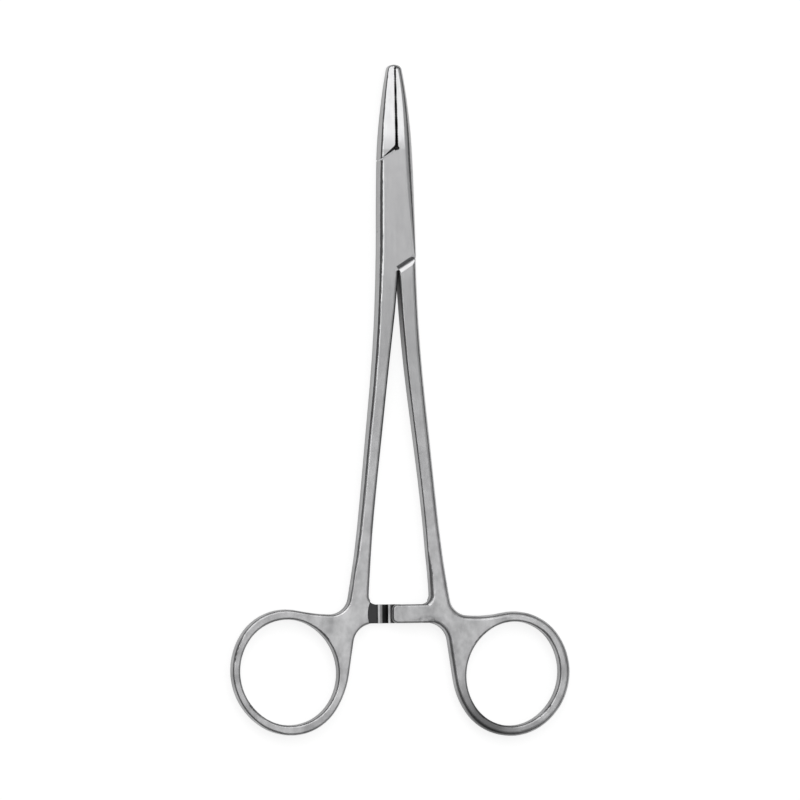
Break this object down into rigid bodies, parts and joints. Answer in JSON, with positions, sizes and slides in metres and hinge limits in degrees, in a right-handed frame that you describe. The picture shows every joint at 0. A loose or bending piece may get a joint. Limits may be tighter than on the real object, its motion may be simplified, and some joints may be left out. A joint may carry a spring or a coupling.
{
  "type": "surgical needle holder",
  "caption": "Straight needle holder with cross-hatched jaws, a box lock, long slim shanks, a ratchet that latches between the handles and finger rings.",
  "frame": {"origin": "where the pivot axis meets the back face of the box lock, on which the instrument lies", "axes": "+X to the half with the right jaw edge and the front ratchet bar, +Y from the pivot to the jaw tips, +Z along the pivot axis from the back face to the front face"},
  "size_m": [0.0818, 0.1605, 0.006],
  "materials": {
    "box_steel": "satin, fine brushed",
    "tongue_steel": "satin, fine brushed",
    "pin_steel": "satin, ground flush"
  },
  "bodies": {
    "box": {"box_half": "box_steel", "lock_pin": "pin_steel"},
    "tongue": {"tongue_half": "tongue_steel"}
  },
  "joints": [
    {"name": "jaw_pivot", "type": "hinge", "parent": "box", "child": "tongue", "pos_m": [0, 0, 0], "axis": [0, 0, 1], "range_deg": [0, 45]}
  ]
}
